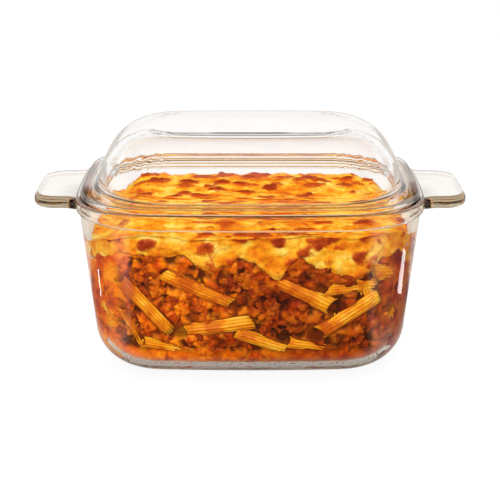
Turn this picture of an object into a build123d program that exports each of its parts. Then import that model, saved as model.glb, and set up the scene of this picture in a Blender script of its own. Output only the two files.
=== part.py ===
"""A covered glass casserole dish with a domed lid, and the pasta bake that fills it.

Millimetres. +Z is up, the table is z = 0, X runs along the length from handle to handle,
and -Y is the front. The origin is the middle of the base. The dish is one pressed piece of
glass with its two handles, and the lid is another. The bake is two soft solids: the filling,
and the crust of cheese on it.
"""

from build123d import *

import math
import os

# Dish, outside
overall_length = 314.0
rim_length = 252.0
rim_width = 198.0
rim_top = 126.0
rim_depth = 10.5
rim_round = 2.2
mouth_edge_round = 1.5
side_bow = 6.0
end_bow = 5.0
rim_corner = 62.0
wall_setback = 2.5
wall_draft = 5.9
base_round = 31.0

# Dish, inside
wall_thickness = 5.5
base_thickness = 6.5
cavity_round = 23.0
mouth_setback = 9.5
foot_width = 7.0
foot_recess = 1.2

# Handles
handle_width = 80.0
handle_thickness = 9.0
handle_drop = 1.5
handle_tip_radius = 17.0
handle_root_radius = 16.0
handle_edge_round = 3.4

# Lid
lid_seat_gap = 0.3
flange_setback = 3.5
flange_thickness = 3.8
flange_round = 1.5
lip_gap = 1.0
lip_width = 5.0
lip_depth = 5.0
lip_round = 1.2
dome_half_length = 111.0
dome_half_width = 79.0
dome_corner = 58.0
dome_draft = 2.0
dome_top = 171.0
dome_thickness = 5.0
dome_round = 43.0
dome_cove = 5.0

# Pasta bake
bake_gap = 0.3
filling_top = 91.0
crust_top = 112.5
crust_round = 8.0

half_length = rim_length / 2
half_width = rim_width / 2
rim_bottom = rim_top - rim_depth
handle_bottom = rim_top - handle_drop - handle_thickness
wall_slope = math.tan(math.radians(wall_draft))
dome_inside_top = dome_top - dome_thickness
lid_bottom = rim_top + lid_seat_gap
lip_setback = mouth_setback + lip_gap
foot_setback = wall_setback + rim_bottom * wall_slope + base_round + foot_width


def bowed_outline(z, long_half, short_half, corner):
    """A rounded rectangle at height z whose four sides bow gently outwards."""
    corner_x = long_half - end_bow
    corner_y = short_half - side_bow
    with BuildSketch(Plane.XY.offset(z)) as outline:
        with BuildLine():
            ThreePointArc((-corner_x, -corner_y), (0, -short_half), (corner_x, -corner_y))
            ThreePointArc((corner_x, -corner_y), (long_half, 0), (corner_x, corner_y))
            ThreePointArc((corner_x, corner_y), (0, short_half), (-corner_x, corner_y))
            ThreePointArc((-corner_x, corner_y), (-long_half, 0), (-corner_x, -corner_y))
        make_face()
        fillet(outline.vertices(), radius=corner)
    return outline.sketch


def dish_outline(z, setback):
    """The rim's outline at height z, drawn in all round by the setback."""
    return bowed_outline(z, half_length - setback, half_width - setback, rim_corner - setback)


def dome_outline(z, inset):
    """The outline of the dome's foot at height z, drawn in all round by the inset."""
    return bowed_outline(z, dome_half_length - inset, dome_half_width - inset, dome_corner - inset)


def wall_sections(bottom, top, inside):
    """The sloping wall's outline at two heights, drawn in by the same distance inside it."""
    return [
        dish_outline(z, wall_setback + inside + (rim_bottom - z) * wall_slope)
        for z in (bottom, top)
    ]


def lowest_edges(part):
    """The edges of the part's bottom face."""
    return part.faces().sort_by(Axis.Z)[0].edges()


def highest_edges(part):
    """The edges of the part's top face."""
    return part.faces().sort_by(Axis.Z)[-1].edges()


# The wall's plan with a tab at each end, blended into it at the roots
with BuildSketch(Plane.XY.offset(handle_bottom)) as tab_plan:
    add(dish_outline(0, wall_setback))
    Rectangle(overall_length, handle_width)
    tips = tab_plan.vertices().filter_by(lambda v: abs(v.X) > half_length)
    fillet(tips, radius=handle_tip_radius)
    roots = tab_plan.vertices().filter_by(
        lambda v: math.isclose(abs(v.Y), handle_width / 2) and abs(v.X) < half_length
    )
    fillet(roots, radius=handle_root_radius)

with BuildPart() as handle_tabs:
    extrude(tab_plan.sketch, amount=handle_thickness)
    fillet(handle_tabs.faces().filter_by(Axis.Z).edges(), radius=handle_edge_round)

with BuildPart() as rim_band:
    extrude(dish_outline(rim_bottom, 0), amount=rim_depth)
    fillet(rim_band.faces().filter_by(Axis.Z).edges(), radius=rim_round)

with BuildPart() as cavity:
    loft(wall_sections(base_thickness, rim_bottom, wall_thickness), ruled=True)
    fillet(lowest_edges(cavity), radius=cavity_round)

with BuildPart() as dish:
    loft(wall_sections(0, rim_bottom, 0), ruled=True)
    fillet(lowest_edges(dish), radius=base_round)
    add(rim_band.part)
    add(handle_tabs.part)
    add(cavity.part, mode=Mode.SUBTRACT)
    extrude(dish_outline(rim_bottom, mouth_setback), amount=rim_depth, mode=Mode.SUBTRACT)
    rim_face = dish.faces().sort_by(Axis.Z)[-1]
    fillet(rim_face.inner_wires().edges(), radius=mouth_edge_round)
    foot_outline = bowed_outline(
        0, half_length - foot_setback, half_width - foot_setback, rim_corner - foot_setback + base_round
    )
    extrude(foot_outline, amount=foot_recess, mode=Mode.SUBTRACT)
dish.part.label = "casserole_dish"

with BuildPart() as lid_flange:
    extrude(dish_outline(lid_bottom, flange_setback), amount=flange_thickness)
    fillet(lid_flange.faces().filter_by(Axis.Z).edges(), radius=flange_round)

with BuildPart() as dome_hollow:
    extrude(dome_outline(lid_bottom, dome_thickness), amount=dome_inside_top - lid_bottom, taper=dome_draft)
    fillet(highest_edges(dome_hollow), radius=dome_round - dome_thickness)

with BuildPart() as lid:
    extrude(dome_outline(lid_bottom, 0), amount=dome_top - lid_bottom, taper=dome_draft)
    fillet(highest_edges(lid), radius=dome_round)
    add(lid_flange.part)
    flange_face = lid.faces().filter_by(Axis.Z).sort_by(Axis.Z)[-2]
    fillet(flange_face.inner_wires().edges(), radius=dome_cove)
    extrude(dish_outline(lid_bottom, lip_setback), amount=-lip_depth)
    fillet(lowest_edges(lid), radius=lip_round)
    extrude(dish_outline(lid_bottom, lip_setback + lip_width), amount=-lip_depth, mode=Mode.SUBTRACT)
    add(dome_hollow.part, mode=Mode.SUBTRACT)
lid.part.label = "lid"

with BuildPart() as pasta_filling:
    loft(wall_sections(base_thickness + bake_gap, filling_top, wall_thickness + bake_gap), ruled=True)
    fillet(lowest_edges(pasta_filling), radius=cavity_round - bake_gap)
pasta_filling.part.label = "pasta_filling"

with BuildPart() as cheese_crust:
    loft(wall_sections(filling_top, crust_top, wall_thickness + bake_gap), ruled=True)
    fillet(highest_edges(cheese_crust), radius=crust_round)
cheese_crust.part.label = "cheese_crust"

os.makedirs("parts", exist_ok=True)
for piece in (dish, lid, pasta_filling, cheese_crust):
    export_step(piece.part, f"parts/{piece.part.label}.step")
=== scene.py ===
"""Looks of the covered glass casserole dish and of the pasta bake in it.

Metres, in the CAD frame. The two glass pieces keep their CAD meshes. The food is built here, against the
inside wall of the dish as it is read from the CAD. Values marked as millimetres are turned into metres by MM.
"""

import itertools
import math

import bmesh
import bpy
import numpy as np
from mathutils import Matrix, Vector
from mathutils.bvhtree import BVHTree


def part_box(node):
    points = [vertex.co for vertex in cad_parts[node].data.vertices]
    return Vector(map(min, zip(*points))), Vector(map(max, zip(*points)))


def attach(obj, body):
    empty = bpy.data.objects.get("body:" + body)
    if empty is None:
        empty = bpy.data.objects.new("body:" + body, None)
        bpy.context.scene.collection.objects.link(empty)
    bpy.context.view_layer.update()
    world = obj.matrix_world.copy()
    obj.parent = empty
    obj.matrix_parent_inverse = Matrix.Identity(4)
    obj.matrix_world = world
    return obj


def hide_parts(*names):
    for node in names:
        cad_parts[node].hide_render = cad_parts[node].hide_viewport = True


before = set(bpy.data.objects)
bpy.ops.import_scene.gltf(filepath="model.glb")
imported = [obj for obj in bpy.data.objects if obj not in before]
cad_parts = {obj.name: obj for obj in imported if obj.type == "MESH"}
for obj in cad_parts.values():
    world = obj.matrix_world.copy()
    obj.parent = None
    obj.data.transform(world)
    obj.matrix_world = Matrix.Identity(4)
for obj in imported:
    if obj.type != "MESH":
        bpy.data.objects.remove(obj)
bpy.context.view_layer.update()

MM = 0.001
rng = np.random.default_rng(7)

rim_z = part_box("casserole_dish")[1].z
crust_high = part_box("cheese_crust")[1]
crust_top = crust_high.z

# About the middle of the food, and a height that is surely inside the dish and above its base
MID_HEIGHT = 70 * MM
ABOVE_BASE = 50 * MM

# How far the food passes into the glass where it lies on it, in millimetres, so that its colour reaches out
# to the dish's outline. Where the cheese bulges near the corners it passes in by up to twice as much
CHEESE_CONTACT = 0.25
SAUCE_CONTACT = 0.20
PIECE_CONTACT = 0.35

# Where the food's front lies, in millimetres, for pieces that are placed by their x alone
FRONT_Y = -82


# ---------------------------------------------------------------- noise

CELL_PRIMES = (73856093, 19349663, 83492791)
SEED_PRIME = 49979687
SCRAMBLE = ((15, 2246822519), (13, 3266489917))
LOW_32_BITS = 0xFFFFFFFF
LOW_24_BITS = 0xFFFFFF


def cell_random(cells, seed):
    """A number from 0 to 1 for each whole-number cell."""
    c = cells.astype(np.int64)
    h = sum(c[..., axis] * prime for axis, prime in enumerate(CELL_PRIMES)) + seed * SEED_PRIME
    h &= LOW_32_BITS
    for shift, factor in SCRAMBLE:
        h = ((h ^ (h >> shift)) * factor) & LOW_32_BITS
    h ^= h >> 16
    return (h & LOW_24_BITS) / float(LOW_24_BITS)


def noise(points, size, seed=0):
    """Smooth noise from -1 to 1 with lumps of about the given size."""
    q = points / size
    base = np.floor(q)
    f = q - base
    f = f * f * f * (f * (f * 6 - 15) + 10)
    total = np.zeros(len(points))
    for corner in np.ndindex(2, 2, 2):
        weight = np.ones(len(points))
        for axis in range(3):
            weight = weight * (f[:, axis] if corner[axis] else 1 - f[:, axis])
        total += weight * cell_random(base + np.array(corner), seed)
    return total * 2 - 1


def fractal(points, size, seed=0, octaves=3, gain=0.5):
    """Noise with finer noise on it."""
    total = np.zeros(len(points))
    weight = 1.0
    for octave in range(octaves):
        total += weight * noise(points, size / 2 ** octave, seed + 31 * octave)
        weight *= gain
    return total


def lumps(points, size, seed=0, flat=False):
    """Rounded lumps packed side by side: 1 at the middle of each and 0 in the creases.

    Also returns a random number for each lump. Flat lumps are drawn on x and y alone."""
    q = points / size
    base = np.floor(q)
    best = np.full(len(points), np.inf)
    own = np.zeros(len(points))
    for step in np.ndindex(3, 3, 1 if flat else 3):
        cell = base + (np.array(step) - [1, 1, 0 if flat else 1])
        centre = cell + np.stack([cell_random(cell, seed + k) for k in (1, 2, 3)], axis=1)
        away = q - centre
        if flat:
            away[:, 2] = 0
        distance = np.linalg.norm(away, axis=1)
        nearer = distance < best
        best = np.where(nearer, distance, best)
        own = np.where(nearer, cell_random(cell, seed + 4), own)
    return np.clip(1 - best, 0, 1), own


def warped(points, reach, size, seed):
    """Points shifted by noise, which bends whatever pattern is drawn at them."""
    shift = np.stack([noise(points, size, seed + k) for k in range(3)], axis=1)
    return points + reach * shift


def smooth_step(low, high, x):
    """0 at low, 1 at high, and a smooth rise between them. Low may be the greater of the two."""
    t = np.clip((x - low) / (high - low), 0, 1)
    return t * t * (3 - 2 * t)


# ---------------------------------------------------------------- meshes

def make_object(name, verts, faces, material, attributes=None, smooth=True):
    """A mesh object. Each attribute holds one number a point, for its material to read."""
    mesh = bpy.data.meshes.new(name)
    mesh.from_pydata([tuple(v) for v in verts], [], faces)
    mesh.validate()
    for key, values in (attributes or {}).items():
        layer = mesh.attributes.new(key, "FLOAT", "POINT")
        layer.data.foreach_set("value", np.asarray(values, np.float32))
    bm = bmesh.new()
    bm.from_mesh(mesh)
    bmesh.ops.recalc_face_normals(bm, faces=bm.faces)
    bm.to_mesh(mesh)
    bm.free()
    mesh.polygons.foreach_set("use_smooth", [smooth] * len(mesh.polygons))
    mesh.materials.append(material)
    obj = bpy.data.objects.new(name, mesh)
    bpy.context.scene.collection.objects.link(obj)
    return obj


def ring_faces(n_rings, n_around):
    """Quads between closed rings, and a fan to one extra vertex at each end."""
    i = np.arange(n_rings - 1)[:, None] * n_around
    j = np.arange(n_around)[None, :]
    k = (j + 1) % n_around
    quads = np.stack([i + j, i + k, i + n_around + k, i + n_around + j], axis=-1).reshape(-1, 4).tolist()
    first = n_rings * n_around
    last = first + 1
    end = (n_rings - 1) * n_around
    caps = [(first, (a + 1) % n_around, a) for a in range(n_around)]
    caps += [(last, end + a, end + (a + 1) % n_around) for a in range(n_around)]
    return quads + caps


# ---------------------------------------------------------------- shader nodes

BLACK = (0.0, 0.0, 0.0)
WHITE = (1.0, 1.0, 1.0)


def grey(level):
    return (level, level, level)


def new_material(name):
    material = bpy.data.materials.new(name)
    material.use_nodes = True
    tree = material.node_tree
    tree.nodes.clear()
    output = tree.nodes.new("ShaderNodeOutputMaterial")
    shader = tree.nodes.new("ShaderNodeBsdfPrincipled")
    tree.links.new(shader.outputs[0], output.inputs["Surface"])
    return material, tree, shader, output


def object_coords(tree):
    return tree.nodes.new("ShaderNodeTexCoord").outputs["Object"]


def split(tree, vector):
    """The x, y and z of a vector."""
    node = tree.nodes.new("ShaderNodeSeparateXYZ")
    tree.links.new(vector, node.inputs[0])
    return tuple(node.outputs)


def noise_node(tree, scale, detail, rough):
    node = tree.nodes.new("ShaderNodeTexNoise")
    node.inputs["Scale"].default_value = scale
    node.inputs["Detail"].default_value = detail
    node.inputs["Roughness"].default_value = rough
    tree.links.new(object_coords(tree), node.inputs["Vector"])
    return node.outputs["Fac"]


def attribute(tree, name):
    node = tree.nodes.new("ShaderNodeAttribute")
    node.attribute_name = name
    return node.outputs["Fac"]


def ramp(tree, fac, stops):
    """A colour that runs through the stops, each of which is a position and a colour."""
    node = tree.nodes.new("ShaderNodeValToRGB")
    elements = node.color_ramp.elements
    while len(elements) < len(stops):
        elements.new(0.5)
    for element, (position, colour) in zip(elements, stops):
        element.position = position
        element.color = (*colour, 1)
    tree.links.new(fac, node.inputs[0])
    return node.outputs[0]


def connect(tree, socket, value):
    """Gives a socket a number, a colour or another node's output."""
    if isinstance(value, (int, float)):
        socket.default_value = value
    elif isinstance(value, tuple):
        socket.default_value = (*value, 1)
    else:
        tree.links.new(value, socket)


def mix(tree, fac, a, b, blend="MIX"):
    node = tree.nodes.new("ShaderNodeMix")
    node.data_type = "RGBA"
    node.blend_type = blend
    for index, value in ((0, fac), (6, a), (7, b)):
        connect(tree, node.inputs[index], value)
    return node.outputs[2]


def maths(tree, operation, a, b=0.0):
    node = tree.nodes.new("ShaderNodeMath")
    node.operation = operation
    for index, value in enumerate((a, b)):
        connect(tree, node.inputs[index], value)
    return node.outputs[0]


def product(tree, first, *others):
    """All the values multiplied together."""
    for other in others:
        first = maths(tree, "MULTIPLY", first, other)
    return first


def spread(tree, fac, low, high, to_low=0.0, to_high=1.0):
    """The value brought from one range to another, and held at the ends of it."""
    node = tree.nodes.new("ShaderNodeMapRange")
    node.inputs["From Min"].default_value = low
    node.inputs["From Max"].default_value = high
    node.inputs["To Min"].default_value = to_low
    node.inputs["To Max"].default_value = to_high
    tree.links.new(fac, node.inputs[0])
    return node.outputs[0]


def between(tree, value, low, high, blur):
    """1 where the value lies between two bounds, fading to 0 over the blur outside them."""
    return product(tree, spread(tree, value, low - blur, low), spread(tree, value, high + blur, high))


def bump(tree, shader, height, distance, strength):
    node = tree.nodes.new("ShaderNodeBump")
    node.inputs["Distance"].default_value = distance
    node.inputs["Strength"].default_value = strength
    tree.links.new(height, node.inputs["Height"])
    tree.links.new(node.outputs[0], shader.inputs["Normal"])


def light_path(tree, output):
    return tree.nodes.new("ShaderNodeLightPath").outputs[output]


def mirrored(tree):
    """1 for what is seen by way of a reflection and 0 for what is seen straight or through glass."""
    return maths(tree, "GREATER_THAN", light_path(tree, "Glossy Depth"), 0.5)


def looked_at(tree):
    """1 for what the camera sees straight or through glass, and 0 for light that bounces or mirrors."""
    bounced = maths(tree, "ADD", light_path(tree, "Diffuse Depth"), light_path(tree, "Glossy Depth"))
    seen = maths(tree, "MAXIMUM", light_path(tree, "Is Camera Ray"), light_path(tree, "Is Transmission Ray"))
    return product(tree, seen, maths(tree, "LESS_THAN", bounced, 0.5))


def glass_crossed(tree, count):
    """1 for what is seen after passing through more than this number of glass faces, and 0 for the rest."""
    return maths(tree, "GREATER_THAN", light_path(tree, "Transmission Depth"), count + 0.5)


# ---------------------------------------------------------------- glass

GLASS_IOR = 1.474
LAMPLIGHT_THROUGH_GLASS = (0.94, 0.95, 0.94)


def glass_material(name, tint, absorb, density, wave):
    """Clear pressed glass: faintly wavy, tinted by its own depth, and letting lamps light what is inside."""
    material, tree, shader, output = new_material(name)
    shader.inputs["Base Color"].default_value = (*tint, 1)
    shader.inputs["Roughness"].default_value = 0.0
    shader.inputs["IOR"].default_value = GLASS_IOR
    shader.inputs["Transmission Weight"].default_value = 1.0
    bump(tree, shader, noise_node(tree, 22.0, 1.0, 0.4), 0.3 * MM, wave)
    clear = tree.nodes.new("ShaderNodeBsdfTransparent")
    clear.inputs[0].default_value = (*LAMPLIGHT_THROUGH_GLASS, 1)
    mixer = tree.nodes.new("ShaderNodeMixShader")
    tree.links.new(light_path(tree, "Is Shadow Ray"), mixer.inputs[0])
    tree.links.new(shader.outputs[0], mixer.inputs[1])
    tree.links.new(clear.outputs[0], mixer.inputs[2])
    tree.links.new(mixer.outputs[0], output.inputs["Surface"])
    volume = tree.nodes.new("ShaderNodeVolumeAbsorption")
    volume.inputs["Color"].default_value = (*absorb, 1)
    volume.inputs["Density"].default_value = density
    tree.links.new(volume.outputs[0], output.inputs["Volume"])
    return material


# ---------------------------------------------------------------- the food's materials

# What a food colour is multiplied by for painted shade towards the right of the dish, and the film of fat and
# sauce on it
RIGHT_SHADE_TINT = (0.56, 0.40, 0.5)
FILM_TINT = (1.0, 0.55, 0.20)


def toned(tree, colour, value, low, high, share, other):
    """The colour, moved towards another by up to a share of the way as the value goes from low to high."""
    return mix(tree, spread(tree, value, low, high, 0.0, share), colour, other)


def shaded_right(tree, colour):
    """The colour with painted shade: darker towards the right of the dish."""
    x = split(tree, object_coords(tree))[0]
    shaded = mix(tree, 1.0, colour, RIGHT_SHADE_TINT, "MULTIPLY")
    return mix(tree, spread(tree, x, -0.035, 0.025), colour, shaded)


def finish_food(tree, shader, colour, grain, roughness, specular):
    """Sets the colour, and a roughness that follows the grain between two bounds."""
    tree.links.new(colour, shader.inputs["Base Color"])
    tree.links.new(spread(tree, grain, 0.3, 0.7, *roughness), shader.inputs["Roughness"])
    shader.inputs["Specular IOR Level"].default_value = specular


def gloss(shader, weight, roughness):
    """A thin film of fat or sauce, which glints on the shape itself and not on its bump."""
    shader.inputs["Coat Weight"].default_value = weight
    shader.inputs["Coat Roughness"].default_value = roughness
    shader.inputs["Specular Tint"].default_value = (*FILM_TINT, 1)


def sauce_material():
    """Red to orange sauce, with dark specks, oily lumps, and painted shade in its hollows."""
    material, tree, shader, _ = new_material("tomato_sauce")
    broad = noise_node(tree, 70.0, 5.0, 0.6)
    fine = noise_node(tree, 420.0, 3.0, 0.6)
    tone = attribute(tree, "tone")
    colour = ramp(tree, broad, [
        (0.30, (0.26, 0.014, 0.0001)), (0.42, (0.60, 0.064, 0.0002)),
        (0.53, (0.86, 0.165, 0.0004)), (0.66, (1.0, 0.34, 0.002)),
    ])
    colour = toned(tree, colour, fine, 0.56, 0.74, 0.4, (0.12, 0.009, 0.001))
    colour = toned(tree, colour, tone, 0.62, 0.85, 0.7, (0.92, 0.27, 0.004))
    colour = toned(tree, colour, tone, 0.38, 0.15, 0.6, (0.20, 0.014, 0.0004))
    # Painted shade: the deeper the sauce lies behind the glass, the darker it is
    colour = toned(tree, colour, attribute(tree, "depth"), 0.26, 0.66, 0.95, (0.05, 0.003, 0.0003))
    # Painted shade towards the right of the dish as well
    finish_food(tree, shader, shaded_right(tree, colour), broad, (0.08, 0.22), 0.30)
    gloss(shader, 0.5, 0.09)
    bump(tree, shader, mix(tree, 0.4, noise_node(tree, 240.0, 4.0, 0.6), fine), 1.0 * MM, 0.7)
    return material


def mince_material():
    """Browned meat in sauce, each crumb lighter or darker than the next."""
    material, tree, shader, _ = new_material("cooked_mince")
    grain = noise_node(tree, 700.0, 4.0, 0.65)
    own = attribute(tree, "tone")
    colour = ramp(tree, noise_node(tree, 110.0, 4.0, 0.6), [
        (0.30, (0.15, 0.008, 0.0002)), (0.44, (0.40, 0.034, 0.0003)),
        (0.55, (0.62, 0.090, 0.0006)), (0.66, (0.85, 0.22, 0.002)),
    ])
    colour = toned(tree, colour, own, 0.6, 1.0, 0.6, (0.62, 0.15, 0.004))
    colour = toned(tree, colour, own, 0.4, 0.0, 0.65, (0.09, 0.009, 0.001))
    # Painted shade makes the colour darker towards the right of the dish
    finish_food(tree, shader, shaded_right(tree, colour), grain, (0.12, 0.32), 0.34)
    gloss(shader, 0.5, 0.09)
    bump(tree, shader, grain, 0.5 * MM, 0.7)
    return material


def pasta_material():
    """Yellow pasta stained by the sauce, darker in its grooves, and with painted shade inside the tube."""
    material, tree, shader, _ = new_material("ridged_pasta")
    fine = noise_node(tree, 500.0, 3.0, 0.6)
    colour = ramp(tree, noise_node(tree, 55.0, 5.0, 0.6), [
        (0.34, (1.0, 0.62, 0.055)), (0.45, (0.96, 0.44, 0.010)),
        (0.53, (0.82, 0.24, 0.002)), (0.62, (0.50, 0.065, 0.0004)),
    ])
    colour = toned(tree, colour, attribute(tree, "groove"), 0.0, 1.0, 0.7, (0.62, 0.15, 0.001))
    # Painted shade inside the tube
    colour = toned(tree, colour, attribute(tree, "inside"), 0.0, 1.0, 0.75, (0.16, 0.014, 0.001))
    finish_food(tree, shader, colour, fine, (0.24, 0.4), 0.35)
    gloss(shader, 0.3, 0.12)
    bump(tree, shader, fine, 0.3 * MM, 0.5)
    return material


def cheese_material():
    """Melted cheese, from pale yellow to orange, with brown spots whose rims the fine noise frays."""
    material, tree, shader, _ = new_material("baked_cheese")
    fine = noise_node(tree, 330.0, 5.0, 0.65)
    fray = product(tree, maths(tree, "SUBTRACT", fine, 0.5), 0.95)
    spot = maths(tree, "ADD", attribute(tree, "brown"), fray)
    colour = ramp(tree, noise_node(tree, 60.0, 5.0, 0.6), [
        (0.34, (0.98, 0.70, 0.15)), (0.44, (0.94, 0.50, 0.030)),
        (0.54, (0.86, 0.28, 0.002)), (0.66, (0.66, 0.11, 0.0006)),
    ])
    colour = toned(tree, colour, spot, 0.22, 0.66, 0.95, (0.54, 0.060, 0.0005))
    colour = toned(tree, colour, spot, 0.62, 1.15, 0.9, (0.24, 0.014, 0.0004))
    finish_food(tree, shader, colour, fine, (0.26, 0.45), 0.14)
    bump(tree, shader, fine, 1.0 * MM, 0.8)
    return material


# ---------------------------------------------------------------- camera

VIEW_PITCH = math.radians(14.8)
AIM_DOWN = VIEW_PITCH + math.radians(2.95)
VIEW_DISTANCE = 1.0
FOCAL_LENGTH = 96.6
SENSOR_WIDTH = 36.0


def add_camera():
    """The photo's view: on a line through the middle of the rim, and aimed a little below it."""
    data = bpy.data.cameras.new("camera")
    data.sensor_width = SENSOR_WIDTH
    data.lens = FOCAL_LENGTH
    data.clip_start = 0.05
    data.clip_end = 50
    camera = bpy.data.objects.new("camera", data)
    away, above = VIEW_DISTANCE * math.cos(VIEW_PITCH), VIEW_DISTANCE * math.sin(VIEW_PITCH)
    camera.location = (0, -away, rim_z + above)
    camera.rotation_euler = (math.pi / 2 - AIM_DOWN, 0, 0)
    bpy.context.scene.collection.objects.link(camera)
    bpy.context.scene.camera = camera


add_camera()


# ---------------------------------------------------------------- floor

FLOOR_HALF = 6
FLOOR_DROP = 0.2 * MM


def floor_material():
    """A pale floor, lit up to near white where it is looked at.

    Only reflections show the dark cards on it, which keep glare off the dish's wall."""
    material, tree, shader, _ = new_material("pale_floor")
    pale = ramp(tree, noise_node(tree, 3.0, 2.0, 0.5), [(0.3, grey(0.93)), (0.7, grey(0.95))])
    x, y, _ = split(tree, object_coords(tree))
    x = maths(tree, "ABSOLUTE", x)
    in_mirror = mirrored(tree)
    in_view = looked_at(tree)
    in_edge = product(tree, glass_crossed(tree, 2), in_mirror)

    # The front card widens towards the camera, and the side cards lie beside the dish, one at each end of it.
    # Each bound is in metres, and the last number is how far the card fades there
    slant = maths(tree, "ADD", x, product(tree, y, 0.8))
    front_card = product(tree, between(tree, slant, -2, 0.045, 0.02), between(tree, y, -0.75, -0.090, 0.016))
    side_card = product(tree, between(tree, x, 0.17, 0.45, 0.03), between(tree, y, -0.12, 0.08, 0.03))
    card = maths(tree, "MAXIMUM", front_card, product(tree, side_card, 0.85))

    card_shade = mix(tree, card, (0.45, 0.43, 0.40), grey(0.05))
    colour = mix(tree, in_mirror, pale, mix(tree, 1.0, pale, card_shade, "MULTIPLY"))
    colour = mix(tree, in_view, colour, mix(tree, 1.0, colour, grey(0.15), "MULTIPLY"))
    colour = mix(tree, in_edge, colour, BLACK)
    tree.links.new(colour, shader.inputs["Base Color"])

    # Painted reflections: the mirrored floor glows faintly outside the cards, and deep inside the glass edges
    # it glows the food's colour in front and pale behind the dish. Where it is looked at it glows to near
    # white
    bare = product(tree, in_mirror, maths(tree, "SUBTRACT", 1.0, card))
    glow = maths(tree, "ADD", product(tree, bare, 0.28), product(tree, in_view, 0.90))
    glow = mix(tree, glow, BLACK, WHITE)
    behind = spread(tree, y, -0.02, 0.02)
    glow = mix(tree, in_edge, glow, mix(tree, behind, (0.62, 0.28, 0.03), (0.92, 0.95, 0.98)))
    tree.links.new(glow, shader.inputs["Emission Color"])
    shader.inputs["Emission Strength"].default_value = 1.0
    shader.inputs["Roughness"].default_value = 0.9
    shader.inputs["Specular IOR Level"].default_value = 0.1
    return material


floor_corners = [(FLOOR_HALF * x, FLOOR_HALF * y, 0) for x, y in ((-1, -1), (1, -1), (1, 1), (-1, 1))]
floor = make_object("floor", floor_corners, [(0, 1, 2, 3)], floor_material(), smooth=False)
floor.location.z = -FLOOR_DROP


# ---------------------------------------------------------------- lamps

LIT_POINT = Vector((0, 0, MID_HEIGHT))


def softbox(name, where, width, height, watts, mirrored_too=True):
    """A flat lamp aimed at the dish. The camera doesn't see it, and reflections show it only if asked."""
    light = bpy.data.lights.new(name, "AREA")
    light.shape = "RECTANGLE"
    light.size = width
    light.size_y = height
    light.energy = watts
    obj = bpy.data.objects.new(name, light)
    obj.location = where
    obj.rotation_euler = (LIT_POINT - Vector(where)).to_track_quat("-Z", "Y").to_euler()
    obj.visible_camera = False
    obj.visible_transmission = False
    obj.visible_glossy = mirrored_too
    bpy.context.scene.collection.objects.link(obj)
    return obj


def floor_strip(name, start, end, width, watts):
    """A thin lamp along the floor, facing up. The dish's corner mirrors it as an upright streak."""
    start, end = Vector(start), Vector(end)
    run = end - start
    strip = softbox(name, (start + end) / 2, run.length, width, watts)
    strip.rotation_euler = (math.pi, 0, math.atan2(run.y, run.x))
    return strip


def light_only(lamps, pieces):
    """The lamps light and show in these pieces and nothing else."""
    group = bpy.data.collections.new(lamps[0].name + "_receivers")
    for piece in pieces:
        group.objects.link(piece)
    for lamp in lamps:
        lamp.light_linking.receiver_collection = group


softbox("top_softbox", (0.1, 0.2, 1.5), 1.6, 1.2, 17, mirrored_too=False)
softbox("front_softbox", (-0.6, -1.45, 0.9), 1.4, 0.7, 15, mirrored_too=False)
food_glints = [
    softbox("left_glint", (-0.55, -1.1, 1.0), 0.50, 0.42, 15),
    softbox("right_glint", (0.7, -0.9, 0.8), 0.34, 0.34, 7),
]
dish_streaks = [
    floor_strip("right_streak", (0.218, -0.009, 0.002), (0.300, 0.020, 0.002), 0.034, 0.055),
    floor_strip("left_streak", (-0.212, -0.011, 0.002), (-0.262, 0.007, 0.002), 0.006, 0.010),
]


# ---------------------------------------------------------------- the studio around

def build_world():
    """A soft grey studio for the light, with one look for reflections and one for what is seen through glass.

    Heights and sides are those of the direction looked in: z is 0 at the horizon and 1 overhead."""
    world = bpy.data.worlds.new("studio")
    bpy.context.scene.world = world
    world.cycles.sampling_method = "NONE"
    world.use_nodes = True
    tree = world.node_tree
    tree.nodes.clear()
    output = tree.nodes.new("ShaderNodeOutputWorld")
    background = tree.nodes.new("ShaderNodeBackground")
    x, y, z = split(tree, tree.nodes.new("ShaderNodeTexCoord").outputs["Generated"])
    inside_glass = glass_crossed(tree, 1)
    light = ramp(tree, z, [(0.0, grey(0.40)), (0.15, grey(0.45)), (0.50, grey(0.55)), (1.0, grey(0.60))])

    # Mirrored: pale behind and above, dim in front, and a dark panel low down, before and behind the dish
    dim = product(tree, spread(tree, y, 0.05, -0.30), spread(tree, z, 0.80, 0.60))
    mirror = spread(tree, dim, 0.0, 1.0, 1.0, 0.08)
    panel = product(tree, between(tree, z, 0.262, 0.325, 0.008),
                    between(tree, maths(tree, "ABSOLUTE", x), -1.0, 0.120, 0.02))
    mirror = mix(tree, panel, mirror, (0.10, 0.05, 0.01))
    # Painted reflection: mirrored views from inside the glass show the food's colour overhead, and amber once
    # they have crossed more than two glass faces
    overhead = product(tree, spread(tree, z, 0.45, 0.55), inside_glass, spread(tree, y, -0.50, -0.35))
    mirror = mix(tree, overhead, mirror, (0.50, 0.24, 0.03))
    amber = mix(tree, spread(tree, z, 0.0, 1.0), (0.24, 0.12, 0.02), (0.80, 0.42, 0.08))
    mirror = mix(tree, glass_crossed(tree, 2), mirror, amber)
    sky = mix(tree, mirrored(tree), light, mirror)

    # Looked at: nearly white, and amber where the glass bends the view upwards, a painted stand-in for the
    # food seen in the rim
    backdrop = ramp(tree, z, [(0.0, grey(0.93)), (0.25, grey(0.97)), (1.0, WHITE)])
    through_rim = product(tree, spread(tree, z, 0.10, 0.30), inside_glass)
    backdrop = mix(tree, through_rim, backdrop, (0.95, 0.60, 0.20))
    sky = mix(tree, looked_at(tree), sky, backdrop)
    tree.links.new(sky, background.inputs["Color"])
    background.inputs["Strength"].default_value = 1.0
    tree.links.new(background.outputs[0], output.inputs["Surface"])


build_world()
bpy.context.scene.view_settings.view_transform = "Standard"

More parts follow.
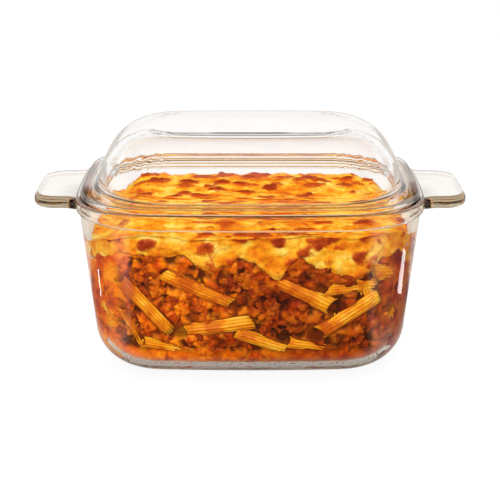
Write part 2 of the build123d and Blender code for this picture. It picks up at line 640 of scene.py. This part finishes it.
# Light runs many times along inside the glass edges before it leaves them
light_paths = bpy.context.scene.cycles
light_paths.max_bounces = 32
light_paths.glossy_bounces = 24
light_paths.transmission_bounces = 32


# ---------------------------------------------------------------- the materials in use

cheese = cheese_material()
sauce = sauce_material()
mince = mince_material()
pasta = pasta_material()
glass = {
    "casserole_dish": glass_material(
        "dish_glass_clear", tint=(0.985, 0.99, 0.985), absorb=(0.70, 0.60, 0.36), density=16.0, wave=0.30),
    "lid": glass_material(
        "lid_glass_clear", tint=(0.995, 0.998, 0.998), absorb=(0.86, 0.83, 0.72), density=6.0, wave=0.10),
}
for node, material in glass.items():
    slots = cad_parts[node].data.materials
    slots.clear()
    slots.append(material)


# ---------------------------------------------------------------- the dish's inside wall, read from the CAD

AROUND = 640
PROBES = 1441
HIGHEST_SAMPLE = 118 * MM
SAMPLE_ROWS = 100

all_round = np.arange(AROUND)
dish_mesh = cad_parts["casserole_dish"].data
dish_corners = [v.co for v in dish_mesh.vertices]
dish_tree = BVHTree.FromPolygons(dish_corners, [p.vertices for p in dish_mesh.polygons])
floor_z = dish_tree.ray_cast(Vector((0, 0, ABOVE_BASE)), Vector((0, 0, -1)))[0].z


def wall_hit(direction, z):
    """The point of the inside wall in this direction from the middle, and the wall's normal there."""
    return dish_tree.ray_cast(Vector((0, 0, z)), Vector((direction[0], direction[1], 0)))[:2]


def even_directions(count, z):
    """Directions from the middle whose points on the wall are evenly spaced, and the length round it."""
    angles = np.linspace(0, 2 * math.pi, PROBES)
    hits = np.array([wall_hit((math.cos(a), math.sin(a)), z)[0][:2] for a in angles])
    run = np.concatenate([[0], np.cumsum(np.linalg.norm(np.diff(hits, axis=0), axis=1))])
    at = np.interp(np.arange(count) / count * run[-1], run, angles)
    return np.stack([np.cos(at), np.sin(at)], axis=1), run[-1]


def wall_grid(heights):
    """Points on the inside wall and the ways from them into the dish, for each height and direction."""
    points = np.zeros((len(heights), AROUND, 3))
    inward = np.zeros((len(heights), AROUND, 3))
    for r, z in enumerate(heights):
        for a, d in enumerate(directions):
            hit, normal = wall_hit(d, z)
            if normal.x * d[0] + normal.y * d[1] > 0:
                normal = -normal
            points[r, a] = hit
            inward[r, a] = normal
    return points, inward


directions, perimeter = even_directions(AROUND, MID_HEIGHT)
sample_heights = np.linspace(floor_z + 0.5 * MM, HIGHEST_SAMPLE, SAMPLE_ROWS)
wall_points, wall_inward = wall_grid(sample_heights)
wall_angles = np.unwrap(np.arctan2(directions[:, 1], directions[:, 0]))
wall_reach = np.linalg.norm(wall_points[:, :, :2], axis=2)


def row_below(z):
    """The sampled row below each height, and the share of the way from there to the next row."""
    row = (z - sample_heights[0]) / (sample_heights[1] - sample_heights[0])
    row = np.clip(row, 0, SAMPLE_ROWS - 1.001)
    below = row.astype(int)
    return below, row - below


def on_wall(a, z):
    """Points on the wall for directions a (whole numbers) at heights z, and the ways inward."""
    i, f = row_below(z)
    f = f[..., None]
    p = wall_points[i, a] * (1 - f) + wall_points[i + 1, a] * f
    n = wall_inward[i, a] * (1 - f) + wall_inward[i + 1, a] * f
    return p, n / np.linalg.norm(n, axis=-1, keepdims=True)


def wall_frame(a, z):
    """A point on the wall with its along, up and inward directions."""
    p, n = on_wall(np.array([a]), np.array([z]))
    p, n = p[0], n[0]
    along = np.cross(n, [0, 0, 1])
    along /= np.linalg.norm(along)
    return p, along, np.cross(along, n), n


def index_near(x, y):
    """The direction that points nearest to x, y."""
    want = np.array([x, y]) / math.hypot(x, y)
    return int(np.argmax(directions @ want))


def column_of(points):
    """Which direction, with its fraction, each point lies in."""
    angle = np.arctan2(points[:, 1], points[:, 0])
    angle = wall_angles[0] + np.mod(angle - wall_angles[0], 2 * math.pi)
    full_turn = np.append(wall_angles, wall_angles[0] + 2 * math.pi)
    return np.interp(angle, full_turn, np.arange(AROUND + 1))


def keep_inside(points, gap):
    """Points moved so that none lies nearer to the wall or the floor of the dish than the gap."""
    points = points.copy()
    points[:, 2] = np.maximum(points[:, 2], floor_z + gap + 0.5 * MM)
    column = column_of(points)
    a = column.astype(int)
    g = column - a
    i, f = row_below(points[:, 2])

    def wall_reach_at(row):
        return wall_reach[row, a % AROUND] * (1 - g) + wall_reach[row, (a + 1) % AROUND] * g

    limit = wall_reach_at(i) * (1 - f) + wall_reach_at(i + 1) * f - gap
    reach = np.linalg.norm(points[:, :2], axis=1)
    points[:, :2] *= np.minimum(1, limit / np.maximum(reach, 1e-6))[:, None]
    return points


def unrolled(height):
    """Points of one ring laid out flat: the way round the wall, and the height.

    The way runs back from halfway, so that the ends meet, and is shifted there, so that the halves differ."""
    way = np.minimum(all_round, AROUND - all_round) * perimeter / AROUND
    shift = np.where(all_round < AROUND // 2, 0.0, 40.0)
    return np.stack([way + shift, height, np.zeros(AROUND)], axis=1)


def touching(points):
    """1 round the corners, where the food lies on the glass, and 0 along the straight walls."""
    x, y = np.abs(points[:, 0]), np.abs(points[:, 1])
    return smooth_step(88 * MM, 102 * MM, x) * smooth_step(12 * MM, 32 * MM, y)


# ---------------------------------------------------------------- cheese

# The cheese's lower edge along the front, x and z in millimetres
front_edge = np.array([
    (-118, 94), (-104, 91), (-90, 93), (-80, 95), (-68, 92), (-57, 94), (-46, 96), (-36, 86), (-27, 81),
    (-19, 88), (-8, 93), (3, 90), (11, 80), (18, 76), (26, 84), (36, 92), (46, 86), (55, 83), (66, 80),
    (76, 75), (85, 79), (94, 90), (102, 95), (112, 99),
], float) * MM


def cheese_edge(points):
    """The height of the cheese's lower edge above each point on the wall."""
    flat = points * [1, 1, 0]
    ragged = (2.6 * noise(flat, 8 * MM, 9) + 1.6 * noise(flat, 3.6 * MM, 10)) * MM
    wander = (90 + 5.0 * noise(flat, 22 * MM, 5)) * MM
    drips, own = lumps(flat, 30 * MM, 8)
    wander -= 13 * MM * smooth_step(0.5, 0.95, drips) * (own > 0.45)
    front = np.interp(points[:, 0], front_edge[:, 0], front_edge[:, 1])
    share = smooth_step(-60 * MM, -72 * MM, points[:, 1])
    return front * share + wander * (1 - share) + ragged


def crust_height(points):
    """The height of the crust's top, without its fine bumps. It sinks towards the two ends."""
    left = smooth_step(34 * MM, 8 * MM, crust_high.x + points[:, 0])
    right = smooth_step(17 * MM, 3 * MM, crust_high.x - points[:, 0])
    sway = noise(points * [1, 1, 0], 34 * MM, 20)
    return crust_top - 3.2 * MM - 9 * MM * left - 7 * MM * right + 1.3 * MM * sway


def crust_bumps(points, flat_points, big_size, small_size):
    """How far the blisters rise, and how brown each point is. The flat points are the same ones laid flat."""
    bent = warped(flat_points, 3.5 * MM, 10 * MM, 30) * [1, 1, 0]
    big, own = lumps(bent, big_size, 40, flat=True)
    small, own_small = lumps(bent, small_size, 44, flat=True)
    blister = smooth_step(0.42, 0.85, big) * (0.25 + 0.95 * own)
    puff = smooth_step(0.40, 0.85, small) * own_small
    rough = fractal(points, 8 * MM, 50, 4, 0.55)
    rise = (2.1 * blister + 1.2 * puff + 0.8 * rough) * MM
    browned = 0.9 * blister * smooth_step(0.30, 0.55, own)
    browned_puff = 0.5 * puff * smooth_step(0.45, 0.7, own_small)
    return rise, browned + browned_puff + 0.30 * rough


def build_crust():
    """The cheese: its blistered top, its side against the glass down to a ragged edge, and its underside.

    Returns the height of that edge for each direction."""
    top_rings, side_rings = 90, 46
    rim_points, _ = on_wall(all_round, np.full(AROUND, 104 * MM))
    rings, browns = [], []
    for k in range(1, top_rings + 1):
        s = k / top_rings
        p = rim_points * s
        rise, brown = crust_bumps(p, p * [1, 1, 0], 19 * MM, 7.5 * MM)
        climb = 1.8 * MM * smooth_step(0.93, 1.0, s) * (1 - touching(p * [1, 1.02, 1]))
        p[:, 2] = np.minimum(crust_height(p) + rise - 1.3 * MM + climb, crust_top - 0.1 * MM)
        rings.append(p)
        browns.append(brown)
    top_z = rings[-1][:, 2]
    edge = np.minimum(cheese_edge(rim_points), top_z - 4 * MM)
    for k in range(1, side_rings + 1):
        t = k / side_rings
        z = top_z * (1 - t) + edge * t
        p, n = on_wall(all_round, z)
        rise, brown = crust_bumps(p, unrolled(z), 14 * MM, 6 * MM)
        touch = touching(p)
        recess = (2.0 - 0.75 * rise / MM + 0.7 * fractal(p, 5 * MM, 70, 3)) * MM * (1 - 0.9 * touch)
        recess = np.maximum(recess, -CHEESE_CONTACT * MM) * smooth_step(0, 0.10, t)
        recess = recess + 1.6 * MM * (1 - touch) * smooth_step(0.82, 1.0, t) ** 2
        recess = recess - CHEESE_CONTACT * MM * touch
        rings.append(p + n * recess[:, None])
        browns.append(brown * (1.2 - 0.5 * t))
    for inset, lift in ((3.6, 0.5), (5.0, 2.5), (9.0, 4.0)):
        p, n = on_wall(all_round, np.minimum(edge + lift * MM, top_z - 3 * MM))
        rings.append(p + n * inset * MM)
        browns.append(np.zeros(AROUND))
    rings.append(rings[-1] * [0.5, 0.5, 1])
    browns.append(np.zeros(AROUND))
    ends = [np.array([[0, 0, ring[:, 2].mean()]]) for ring in (rings[0], rings[-1])]
    brown = np.concatenate(browns + [[0.2, 0.0]])
    faces = ring_faces(len(rings), AROUND)
    crust = make_object("cheese_topping", np.concatenate(rings + ends), faces, cheese, {"brown": brown})
    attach(crust, "dish")
    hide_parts("cheese_crust")
    return edge


edge_heights = build_crust()


# ---------------------------------------------------------------- pasta tubes

PASTA_WALL = 1.3 * MM
RIDGE = 0.75 * MM
RIDGES = 15
TUBE_ROUND = 90
TUBES_AROUND = 40
TRIES_FOR_TUBES = 400
TUBE_SPACING = 25 * MM

# Tubes seen at the front, in millimetres and degrees:
# x, z, turn, tilt into the dish, length, radius, depth behind the glass, and roll
front_tubes = [
    (-77, 59, -50, 3, 50, 6.4, 6.6, 80),
    (-33, 69, -25, 2, 52, 6.6, 6.8, -70),
    (-25, 41, 9, -2, 48, 7.2, 7.4, 110),
    (41, 64, -27, -4, 40, 8.0, 8.0, -90),
    (67, 48, 34, 2, 48, 7.2, 7.6, 90),
    (66, 70, 2, 8, 34, 5.8, 7.4, 30),
    (11, 29, -20, 4, 38, 6.4, 7.6, -80),
    (41, 26, -12, 5, 34, 6.0, 7.8, 60),
    (90, 62, -66, 6, 32, 5.6, 7.8, 0),
    (-62, 25, -12, 5, 38, 6.0, 8.0, 90),
    (-92, 38, -66, 6, 36, 5.8, 7.8, 30),
]
tube_lines = []


def tube(length, radius, bend, squash, seed):
    """A ridged pasta tube cut slantwise at both ends, lying along its own x axis.

    Returns its points and faces, and how deep in a groove and how far inside the tube each point is."""
    theta = np.arange(TUBE_ROUND) / TUBE_ROUND * 2 * math.pi
    valley = 1 - (0.5 + 0.5 * np.cos(theta * RIDGES))
    # Along the outside from end to end, over the cut, back along the inside, and over the other cut
    section = [(s, 0.0) for s in np.linspace(-1, 1, 10)]
    section += [(1.0, 0.5), (0.97, 1.0), (0.3, 1.0), (-0.3, 1.0), (-0.97, 1.0), (-1.0, 0.5)]
    rings, groove, inside = [], [], []
    for s, depth in section:
        r = radius - RIDGE * valley * (1 - depth) - PASTA_WALL * depth
        wobble = 1 + 0.04 * math.sin(3.1 * s + seed)
        y = r * np.cos(theta) * wobble
        z = r * np.sin(theta) * squash / wobble
        x = s * length / 2 + y * 0.8
        rings.append(np.stack([x, y + bend * x ** 2, z], axis=1))
        groove.append(valley * (1 - depth))
        inside.append(np.full(TUBE_ROUND, depth))
    faces = []
    for i in range(len(section)):
        k = (i + 1) % len(section)
        for j in range(TUBE_ROUND):
            m = (j + 1) % TUBE_ROUND
            corners = ((i, j), (i, m), (k, m), (k, j))
            faces.append(tuple(ring * TUBE_ROUND + spot for ring, spot in corners))
    return np.concatenate(rings), faces, np.concatenate(groove), np.concatenate(inside)


def place(local, a, z, turn, tilt, depth, roll):
    """A tube's points moved to the wall: rolled, turned along it, tilted into the dish, and set in."""
    p, along, up, inward = wall_frame(a, z)
    ca, sa = math.cos(turn), math.sin(turn)
    axis = (along * ca + up * sa) * math.cos(tilt) + inward * math.sin(tilt)
    side = -along * sa + up * ca
    third = np.cross(axis, side)
    cr, sr = math.cos(roll), math.sin(roll)
    y, w = local[:, 1] * cr - local[:, 2] * sr, local[:, 1] * sr + local[:, 2] * cr
    return p + inward * depth + local[:, :1] * axis + y[:, None] * side + w[:, None] * third


def build_tubes():
    """The tubes seen at the front, and others spaced out round the ends and the back."""
    points, faces, groove, inside = [], [], [], []

    def put(a, z, turn, tilt, length, radius, depth, roll, seed):
        bend = 3.0 * (0.5 - cell_random(np.array([seed, 1, 2]), 3))
        local, local_faces, local_groove, local_inside = tube(length * MM, radius * MM, bend, 0.9, seed)
        pose = (a, z * MM, math.radians(turn), math.radians(tilt), depth * MM, math.radians(roll))
        ends = np.array([[side * length * MM, 0, 0] for side in (-0.5, 0.5)])
        tube_lines.append((*place(ends, *pose), radius * MM))
        first = sum(len(p) for p in points)
        faces.extend([tuple(i + first for i in f) for f in local_faces])
        points.append(keep_inside(place(local, *pose), -PIECE_CONTACT * MM))
        groove.append(local_groove)
        inside.append(local_inside)

    for k, (x, z, *rest) in enumerate(front_tubes):
        put(index_near(x, FRONT_Y), z, *rest, k)
    taken = []
    for k in range(TRIES_FOR_TUBES):
        a = int(rng.integers(AROUND))
        z = rng.uniform(24, 78)
        point = on_wall(np.array([a]), np.array([z * MM]))[0][0]
        at_front = point[1] < -55 * MM and abs(point[0]) < 102 * MM
        crowded = any(np.linalg.norm(point - other) < TUBE_SPACING for other in taken)
        if at_front or crowded or len(taken) >= TUBES_AROUND:
            continue
        taken.append(point)
        radius = rng.uniform(5.8, 7.0)
        turn, tilt, length = rng.uniform(-75, 75), rng.uniform(-4, 5), rng.uniform(38, 50)
        depth = radius + rng.uniform(-0.2, 0.8)
        put(a, z, turn, tilt, length, radius, depth, rng.uniform(0, 360), 50 + k)
    tones = {"groove": np.concatenate(groove), "inside": np.concatenate(inside)}
    obj = make_object("penne_tubes", np.concatenate(points), faces, pasta, tones)
    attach(obj, "dish")


build_tubes()


def near_tubes(points):
    """How near each point is to a tube: 1 within 0.85 of its radius and 0 beyond 1.35 of it."""
    near = np.zeros(len(points))
    for start, end, radius in tube_lines:
        run = end - start
        t = np.clip((points - start) @ run / (run @ run), 0, 1)
        away = np.linalg.norm(points - start - t[:, None] * run, axis=1)
        near = np.maximum(near, smooth_step(1.35 * radius, 0.85 * radius, away))
    return near


# ---------------------------------------------------------------- sauce

def build_sauce():
    """The sauce that fills the dish: lumpy behind the walls, and on the glass at the corners and low down.

    The recess, in millimetres, is how far it lies behind the glass."""
    levels = 110
    bottom = floor_z + 0.6 * MM
    top = np.minimum(edge_heights + 6 * MM, 97 * MM)
    rings, depths, tones = [], [], []
    for share in np.linspace(0, 1, levels) ** 1.15:
        z = bottom + (top - bottom) * share
        p, n = on_wall(all_round, z)
        bent = warped(unrolled(z), 2.6 * MM, 7 * MM, 90)
        lump, own = lumps(bent, 10.0 * MM, 100, flat=True)
        bead, own_bead = lumps(bent, 5.2 * MM, 110, flat=True)
        swell = 3.6 * smooth_step(0.3, 0.9, lump) * (0.35 + 0.75 * own)
        recess = 4.2 - swell - 1.7 * smooth_step(0.3, 0.9, bead) + 1.3 * fractal(p, 12 * MM, 120, 3, 0.5)
        touch = touching(p)
        low = smooth_step(24 * MM, 14 * MM, z)
        held = np.maximum(low, 0.88 * touch)
        recess = recess * (1 - held) - 0.75 * held
        behind_tube = 3.4 * near_tubes(p + n * 3 * MM) * (1 - low) * (1 - touch)
        recess = np.maximum(recess, behind_tube - SAUCE_CONTACT * touch)
        under = smooth_step(-1 * MM, 2.5 * MM, z - edge_heights)
        recess = np.maximum(recess, -SAUCE_CONTACT) * (1 - under) + np.maximum(recess + 1.5, 4.5) * under
        rings.append(p + n * recess[:, None] * MM)
        # How far behind the glass each point lies, which the sauce's material darkens as painted shade
        depths.append(np.clip(recess / 6.0, 0, 1))
        tones.append(0.55 * own + 0.45 * own_bead)
    ends = [np.array([[0, 0, bottom]]), np.array([[0, 0, 95 * MM]])]
    looks = {"depth": np.concatenate(depths + [[0.0, 0.5]]), "tone": np.concatenate(tones + [[0.5, 0.5]])}
    faces = ring_faces(levels, AROUND)
    body = make_object("tomato_sauce_body", np.concatenate(rings + ends), faces, sauce, looks)
    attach(body, "dish")
    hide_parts("pasta_filling")


build_sauce()


# ---------------------------------------------------------------- mince

# Clumps seen at the front: x, z and spread in millimetres, and the number of crumbs
front_clumps = [
    (-4, 78, 9, 12), (4, 71, 7, 9), (-67, 86, 9, 9), (-51, 58, 8, 9), (-40, 60, 6, 6), (25, 82, 6, 6),
    (49, 76, 7, 8), (68, 76, 7, 5), (17, 56, 8, 11), (36, 42, 7, 7), (-84, 80, 8, 7), (-92, 52, 7, 5),
    (-62, 74, 7, 7), (-46, 82, 7, 7), (-30, 54, 6, 4), (82, 60, 6, 4), (-8, 58, 6, 6), (-78, 38, 7, 5),
    (2, 44, 6, 6), (-36, 24, 8, 5),
]
CLUMPS_AROUND = 90
LOWEST_CRUMB = 16 * MM


def ball_shape():
    """The points and faces of a ball of radius 1, which every crumb is made from."""
    bm = bmesh.new()
    bmesh.ops.create_icosphere(bm, subdivisions=4, radius=1.0)
    verts = np.array([v.co for v in bm.verts])
    faces = [tuple(v.index for v in f.verts) for f in bm.faces]
    bm.free()
    return verts, faces


ball, ball_faces = ball_shape()
crumb_seeds = itertools.count(2)


def crumb(a, z, depth, size, seed):
    """One crumb's points: a knobbly lump at a random turn, flattened where it would pass into the glass."""
    p, along, up, inward = wall_frame(a, z)
    turn = Vector([cell_random(np.array([seed, k, 6]), 12) - 0.5 for k in range(3)]).normalized()
    spin = np.array(turn.rotation_difference(Vector((0, 0, 1))).to_matrix())
    stretch = 0.65 + 0.7 * np.array([cell_random(np.array([seed, k, 5]), 9) for k in range(3)])
    at = ball + seed * 3.7
    knobs, _ = lumps(at, 0.8, 3)
    swell = 0.70 + 0.34 * noise(at, 1.1, 2) + 0.46 * smooth_step(0.2, 0.9, knobs)
    swell = swell + 0.14 * noise(at, 0.35, 4)
    local = (ball * stretch * swell[:, None] * size) @ spin
    q = p + inward * depth + local[:, :1] * along + local[:, 1:2] * up + local[:, 2:3] * inward
    return keep_inside(q, -PIECE_CONTACT * MM)


def add_crumb(crumbs, a, z, depth, size):
    """Adds a crumb and its tone where it stays clear of the tubes and below the cheese."""
    seed = next(crumb_seeds)
    p, _, _, inward = wall_frame(a, z)
    clear = near_tubes((p + inward * depth)[None])[0] < 0.85
    if clear and LOWEST_CRUMB < z < edge_heights[a] + 1 * MM:
        crumbs.append((crumb(a, z, depth, size, seed), cell_random(np.array([seed, 8, 8]), 11)))


def build_mince(name, crumbs):
    """One piece of all these crumbs."""
    verts = np.concatenate([points for points, _ in crumbs])
    tone = np.concatenate([np.full(len(points), own) for points, own in crumbs])
    faces = [tuple(i + k * len(ball) for i in f) for k in range(len(crumbs)) for f in ball_faces]
    obj = make_object(name, verts, faces, mince, {"tone": tone})
    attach(obj, "dish")


def front_crumbs():
    """Crumbs scattered about the middle of each clump that is seen at the front."""
    crumbs = []
    for x, z, reach, number in front_clumps:
        for _ in range(number):
            dx, dz = rng.normal(0, reach * 0.55, 2)
            size = rng.uniform(2.6, 5.2) * MM
            depth = size * 0.8 + rng.uniform(0.2, 1.6) * MM
            add_crumb(crumbs, index_near(x + dx, FRONT_Y), (z + dz) * MM, depth, size)
    return crumbs


def crumbs_around():
    """Crumbs in ones, twos and threes all round the dish."""
    crumbs = []
    for _ in range(CLUMPS_AROUND):
        a = int(rng.integers(AROUND))
        z = rng.uniform(20, 88)
        for _ in range(int(rng.integers(1, 4))):
            size = rng.uniform(2.0, 4.2) * MM
            depth = size * 0.8 + rng.uniform(0.3, 1.8) * MM
            near = (a + int(round(rng.normal(0, 4)))) % AROUND
            add_crumb(crumbs, near, (z + rng.normal(0, 4)) * MM, depth, size)
    return crumbs


build_mince("mince_front", front_crumbs())
build_mince("mince_around", crumbs_around())


# ---------------------------------------------------------------- what each lamp lights

food = ("cheese_topping", "tomato_sauce_body", "penne_tubes", "mince_front", "mince_around")
light_only(food_glints, [bpy.data.objects[name] for name in food])
light_only(dish_streaks, [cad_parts["casserole_dish"]])
